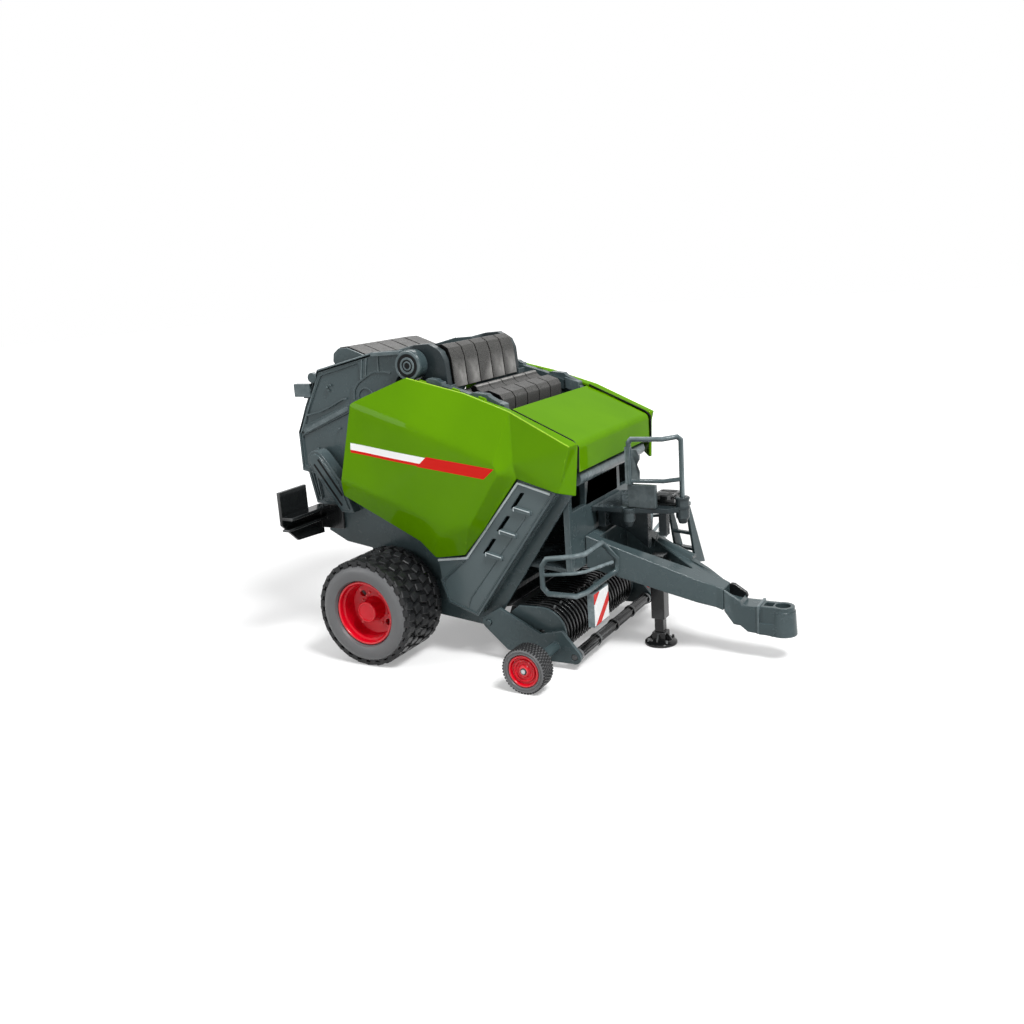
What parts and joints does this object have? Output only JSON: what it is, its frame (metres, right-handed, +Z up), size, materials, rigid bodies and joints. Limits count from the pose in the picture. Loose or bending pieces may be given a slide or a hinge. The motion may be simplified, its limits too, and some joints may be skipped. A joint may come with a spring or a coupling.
{
  "type": "toy round baler",
  "caption": "Towed toy round baler with a lifting tailgate, side wheels, pick-up with guide wheels, drawbar, jack and platform.",
  "frame": {"origin": "on the ground, in the middle of the part's length and width", "axes": "+X towards the hitch, +Y to the machine's left, +Z up"},
  "size_m": [0.3172, 0.202, 0.1935],
  "materials": {
    "green_plastic": "glossy moulded green",
    "slate_plastic": "satin moulded dark grey",
    "black_plastic": "semi-gloss black",
    "belt_plastic": "fine grained black",
    "red_plastic": "glossy red",
    "tyre": "matt soft black",
    "steel": "bright drawn"
  },
  "bodies": {
    "chassis": {"chamber_wall_right": "slate_plastic", "side_panel_right": "green_plastic", "side_cover_right": "slate_plastic", "front_guard_right": "slate_plastic", "light_carrier_right": "slate_plastic", "chamber_wall_left": "slate_plastic", "side_panel_left": "green_plastic", "side_cover_left": "slate_plastic", "front_guard_left": "slate_plastic", "light_carrier_left": "slate_plastic", "hood": "green_plastic", "front_frame": "slate_plastic", "intake_roof": "black_plastic", "intake_floor": "slate_plastic", "chamber_belts_front": "belt_plastic", "pivot_frame": "slate_plastic", "belts_upper": "belt_plastic", "belts_lower": "belt_plastic", "drawbar": "slate_plastic", "hitch_ring": "slate_plastic", "jack_tube": "slate_plastic", "platform": "slate_plastic", "railing": "slate_plastic", "cabinet": "slate_plastic", "toolbox": "black_plastic", "ladder": "slate_plastic", "axle": "steel", "floor_roller": "black_plastic"},
    "tailgate": {"tailgate_wall_right": "slate_plastic", "tailgate_wall_left": "slate_plastic", "chamber_belts_rear": "belt_plastic", "belts_rear": "belt_plastic", "tailgate_crossbar": "slate_plastic"},
    "pickup": {"pickup_plate_right": "slate_plastic", "pickup_plate_left": "slate_plastic", "pickup_bands": "black_plastic"},
    "tine_reel": {"tine_reel": "black_plastic"},
    "press_roller": {"press_roller": "black_plastic"},
    "jack": {"jack_leg": "black_plastic"},
    "wheel_right": {"main_tyre_right": "tyre", "main_rim_right": "red_plastic"},
    "guide_wheel_right": {"guide_tyre_right": "tyre", "guide_rim_right": "red_plastic"},
    "wheel_left": {"main_tyre_left": "tyre", "main_rim_left": "red_plastic"},
    "guide_wheel_left": {"guide_tyre_left": "tyre", "guide_rim_left": "red_plastic"}
  },
  "joints": [
    {"name": "tailgate_hinge", "type": "hinge", "parent": "chassis", "child": "tailgate", "pos_m": [-0.0625, 0, 0.1813], "axis": [0, 1, 0], "range_deg": [-30, 27]},
    {"name": "pickup_lift", "type": "hinge", "parent": "chassis", "child": "pickup", "pos_m": [-0.0153, 0, 0.024], "axis": [0, -1, 0], "range_deg": [0, 12]},
    {"name": "tine_reel_spin", "type": "hinge", "parent": "pickup", "child": "tine_reel", "pos_m": [0.0177, 0, 0.0185], "axis": [0, 1, 0], "continuous": true},
    {"name": "press_roller_spin", "type": "hinge", "parent": "pickup", "child": "press_roller", "pos_m": [0.0417, 0, 0.0082], "axis": [0, 1, 0], "continuous": true},
    {"name": "jack_slide", "type": "slide", "parent": "chassis", "child": "jack", "axis": [0, 0, 1], "range_m": [0, 0.0085]},
    {"name": "wheel_right_spin", "type": "hinge", "parent": "chassis", "child": "wheel_right", "pos_m": [-0.0833, -0.07675, 0.034], "axis": [0, 1, 0], "continuous": true},
    {"name": "guide_wheel_right_spin", "type": "hinge", "parent": "pickup", "child": "guide_wheel_right", "pos_m": [0.0295, -0.095, 0.0137], "axis": [0, 1, 0], "continuous": true},
    {"name": "wheel_left_spin", "type": "hinge", "parent": "chassis", "child": "wheel_left", "pos_m": [-0.0833, 0.07675, 0.034], "axis": [0, 1, 0], "continuous": true},
    {"name": "guide_wheel_left_spin", "type": "hinge", "parent": "pickup", "child": "guide_wheel_left", "pos_m": [0.0295, 0.095, 0.0137], "axis": [0, 1, 0], "continuous": true}
  ]
}
